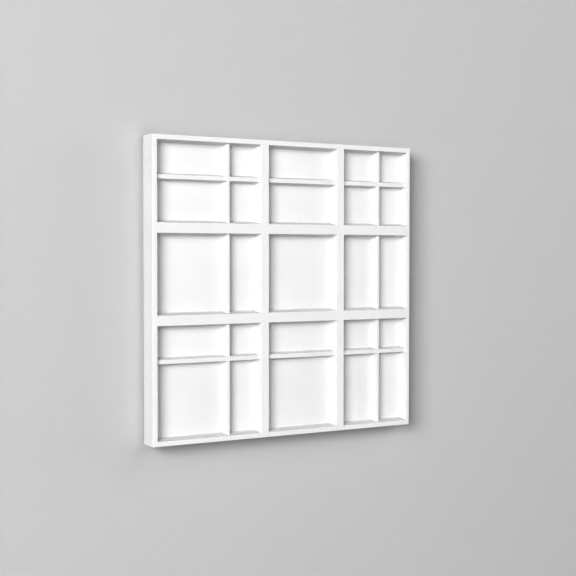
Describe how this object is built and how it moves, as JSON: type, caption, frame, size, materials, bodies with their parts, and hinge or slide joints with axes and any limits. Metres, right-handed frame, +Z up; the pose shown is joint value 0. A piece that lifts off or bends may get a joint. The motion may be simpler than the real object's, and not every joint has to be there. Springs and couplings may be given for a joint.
{
  "type": "textured wall panel",
  "caption": "Square white relief wall panel: a flat back and a deep grid of square and rectangular recesses of different sizes, to be glued flat to a wall",
  "frame": {"origin": "centre of the flat back face, on the plane that lies against the wall", "axes": "+X to the right as seen by somebody facing the panel, +Y into the wall, +Z up"},
  "size_m": [0.333, 0.025, 0.333],
  "materials": {
    "panel_white": "smooth matt white primer"
  },
  "bodies": {
    "root": {"panel": "panel_white"}
  },
  "joints": []
}
